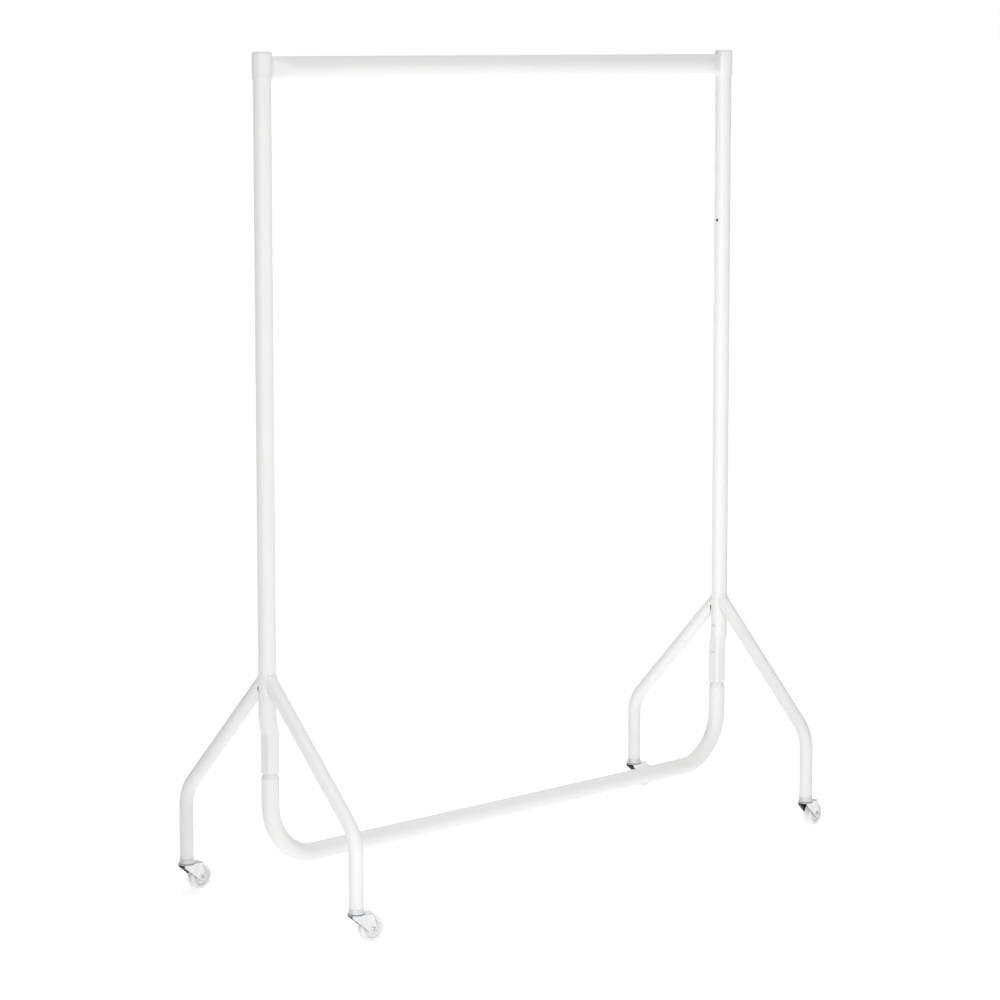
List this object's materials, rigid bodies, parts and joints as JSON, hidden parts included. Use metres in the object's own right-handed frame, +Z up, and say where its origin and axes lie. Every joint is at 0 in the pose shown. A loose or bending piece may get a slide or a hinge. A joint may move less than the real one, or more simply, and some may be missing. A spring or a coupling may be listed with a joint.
{
  "type": "garment rail",
  "caption": "Mobile garment rail: a round hanging rail between two uprights, splayed tubular end frames joined by a low base bar, and small swivel casters.",
  "frame": {"origin": "on the floor, midway between the two uprights", "axes": "+X along the rail, +Y to the rear, +Z up from the floor"},
  "size_m": [1.2531, 0.5077, 1.533],
  "materials": {
    "white_powder_coat": "white powder coat, satin",
    "plug_plastic": "moulded white plastic",
    "wheel_nylon": "natural white nylon",
    "zinc_plate": "bright zinc plate",
    "button_zinc": "bright zinc plate",
    "bare_steel": "plain steel"
  },
  "bodies": {
    "frame": {"hanging_rail": "white_powder_coat", "left_rail_sleeve": "white_powder_coat", "right_rail_sleeve": "white_powder_coat", "left_sleeve_cap": "plug_plastic", "right_sleeve_cap": "plug_plastic", "left_upright": "white_powder_coat", "right_upright": "white_powder_coat", "left_post": "white_powder_coat", "right_post": "white_powder_coat", "front_left_leg": "white_powder_coat", "rear_left_leg": "white_powder_coat", "front_right_leg": "white_powder_coat", "rear_right_leg": "white_powder_coat", "base_bar": "white_powder_coat", "upper_left_button_spring": "bare_steel", "lower_left_button_spring": "bare_steel", "upper_right_button_spring": "bare_steel", "lower_right_button_spring": "bare_steel", "front_left_socket": "plug_plastic", "rear_left_socket": "plug_plastic", "front_right_socket": "plug_plastic", "rear_right_socket": "plug_plastic", "front_left_stem": "zinc_plate", "rear_left_stem": "zinc_plate", "front_right_stem": "zinc_plate", "rear_right_stem": "zinc_plate", "front_left_bearing_cup": "zinc_plate", "rear_left_bearing_cup": "zinc_plate", "front_right_bearing_cup": "zinc_plate", "rear_right_bearing_cup": "zinc_plate", "front_left_swivel_balls": "bare_steel", "rear_left_swivel_balls": "bare_steel", "front_right_swivel_balls": "bare_steel", "rear_right_swivel_balls": "bare_steel"},
    "front_left_yoke": {"front_left_fork": "zinc_plate", "front_left_axle": "bare_steel", "front_left_axle_bush": "bare_steel"},
    "front_left_roller": {"front_left_wheel": "wheel_nylon"},
    "rear_left_yoke": {"rear_left_fork": "zinc_plate", "rear_left_axle": "bare_steel", "rear_left_axle_bush": "bare_steel"},
    "rear_left_roller": {"rear_left_wheel": "wheel_nylon"},
    "front_right_yoke": {"front_right_fork": "zinc_plate", "front_right_axle": "bare_steel", "front_right_axle_bush": "bare_steel"},
    "front_right_roller": {"front_right_wheel": "wheel_nylon"},
    "rear_right_yoke": {"rear_right_fork": "zinc_plate", "rear_right_axle": "bare_steel", "rear_right_axle_bush": "bare_steel"},
    "rear_right_roller": {"rear_right_wheel": "wheel_nylon"},
    "upper_left_button": {"upper_left_snap_button": "button_zinc"},
    "upper_right_button": {"upper_right_snap_button": "button_zinc"},
    "lower_left_button": {"lower_left_snap_button": "button_zinc"},
    "lower_right_button": {"lower_right_snap_button": "button_zinc"}
  },
  "joints": [
    {"name": "front_left_swivel", "type": "hinge", "parent": "frame", "child": "front_left_yoke", "pos_m": [-0.5925, -0.236, 0.05], "axis": [0, 0, 1], "continuous": true},
    {"name": "front_left_spin", "type": "hinge", "parent": "front_left_yoke", "child": "front_left_roller", "pos_m": [-0.56559, -0.24372, 0.0225], "axis": [0.2756, 0.9613, 0], "continuous": true},
    {"name": "rear_left_swivel", "type": "hinge", "parent": "frame", "child": "rear_left_yoke", "pos_m": [-0.5925, 0.236, 0.05], "axis": [0, 0, 1], "continuous": true},
    {"name": "rear_left_spin", "type": "hinge", "parent": "rear_left_yoke", "child": "rear_left_roller", "pos_m": [-0.56452, 0.23502, 0.0225], "axis": [0.0349, 0.9994, 0], "continuous": true},
    {"name": "front_right_swivel", "type": "hinge", "parent": "frame", "child": "front_right_yoke", "pos_m": [0.5925, -0.236, 0.05], "axis": [0, 0, 1], "continuous": true},
    {"name": "front_right_spin", "type": "hinge", "parent": "front_right_yoke", "child": "front_right_roller", "pos_m": [0.62008, -0.23114, 0.0225], "axis": [-0.1736, 0.9848, 0], "continuous": true},
    {"name": "rear_right_swivel", "type": "hinge", "parent": "frame", "child": "rear_right_yoke", "pos_m": [0.5925, 0.236, 0.05], "axis": [0, 0, 1], "continuous": true},
    {"name": "rear_right_spin", "type": "hinge", "parent": "rear_right_yoke", "child": "rear_right_roller", "pos_m": [0.6205, 0.236, 0.0225], "axis": [0, 1, 0], "continuous": true},
    {"name": "upper_left_press", "type": "slide", "parent": "frame", "child": "upper_left_button", "axis": [-1, 0, 0], "range_m": [0, 0.0047], "stiffness_N_per_m": 1500, "springref_m": -0.002},
    {"name": "upper_right_press", "type": "slide", "parent": "frame", "child": "upper_right_button", "axis": [1, 0, 0], "range_m": [0, 0.0047], "stiffness_N_per_m": 1500, "springref_m": -0.002},
    {"name": "lower_left_press", "type": "slide", "parent": "frame", "child": "lower_left_button", "axis": [-1, 0, 0], "range_m": [0, 0.0047], "stiffness_N_per_m": 1500, "springref_m": -0.002},
    {"name": "lower_right_press", "type": "slide", "parent": "frame", "child": "lower_right_button", "axis": [1, 0, 0], "range_m": [0, 0.0047], "stiffness_N_per_m": 1500, "springref_m": -0.002}
  ]
}
